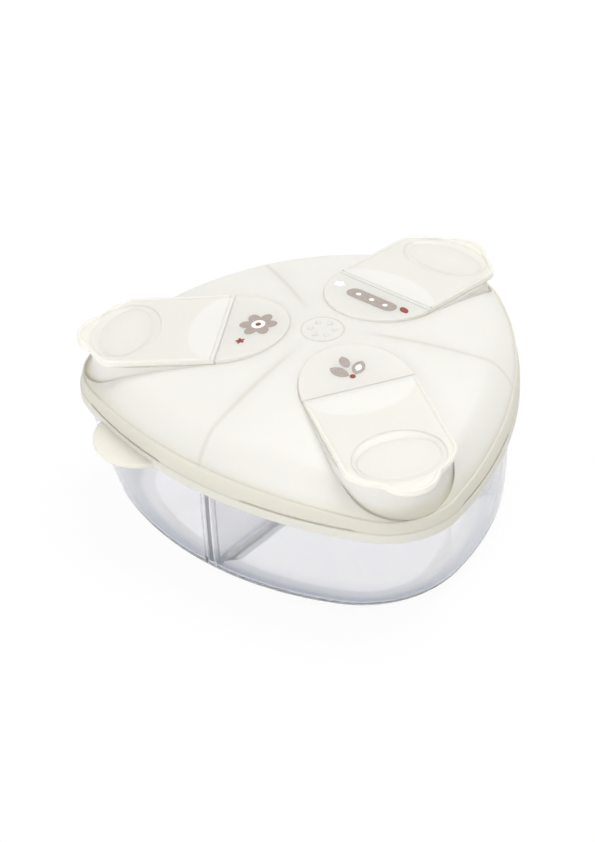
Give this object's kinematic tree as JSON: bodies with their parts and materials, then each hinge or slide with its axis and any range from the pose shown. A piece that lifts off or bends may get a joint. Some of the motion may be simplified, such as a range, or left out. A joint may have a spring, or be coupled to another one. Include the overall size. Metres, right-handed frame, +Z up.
{
  "type": "milk powder container",
  "caption": "Rounded-triangle clear bowl with a lift-out divider and a domed snap lid whose arms carry hinged flip caps over oval pouring spouts.",
  "frame": {"origin": "middle of the base's flat underside, which rests on the table", "axes": "+Z up through the lid; the first arm and flip cap point along -Y, the others at 120 degrees to either side"},
  "size_m": [0.139, 0.1328, 0.059],
  "materials": {
    "clear_bowl": "clear polypropylene, glossy, faint blue-grey tint",
    "clear_divider": "clear polypropylene, glossy",
    "ivory_lid": "milky ivory polypropylene, satin",
    "ivory_plate": null,
    "ivory_cap": "milky translucent polypropylene, satin",
    "print_ink": "printed ink"
  },
  "bodies": {
    "bowl": {"storage_bowl": "clear_bowl"},
    "divider": {"divider_insert": "clear_divider"},
    "lid": {"lid_shell": "ivory_lid", "hinge_plate_front": "ivory_plate", "hinge_plate_right": "ivory_plate", "hinge_plate_left": "ivory_plate"},
    "cap_front": {"flip_cap_front": "ivory_cap"},
    "cap_right": {"flip_cap_right": "ivory_cap"},
    "cap_left": {"flip_cap_left": "ivory_cap"}
  },
  "joints": [
    {"name": "lid_lift", "type": "slide", "parent": "bowl", "child": "lid", "axis": [0, 0, 1], "range_m": [0, 0.09]},
    {"name": "divider_lift", "type": "slide", "parent": "bowl", "child": "divider", "axis": [0, 0, 1], "range_m": [0, 0.045]},
    {"name": "cap_front_hinge", "type": "hinge", "parent": "lid", "child": "cap_front", "pos_m": [0, -0.0293, 0.05663], "axis": [-1, 0, 0], "range_deg": [0, 110]},
    {"name": "cap_right_hinge", "type": "hinge", "parent": "lid", "child": "cap_right", "pos_m": [0.02537, 0.01465, 0.05663], "axis": [0.5, -0.866, 0], "range_deg": [0, 110]},
    {"name": "cap_left_hinge", "type": "hinge", "parent": "lid", "child": "cap_left", "pos_m": [-0.02537, 0.01465, 0.05663], "axis": [0.5, 0.866, 0], "range_deg": [0, 110]}
  ],
  "couplings": [
    {"joint": "divider_lift", "follows": "lid_lift", "ratio": 0.5}
  ]
}
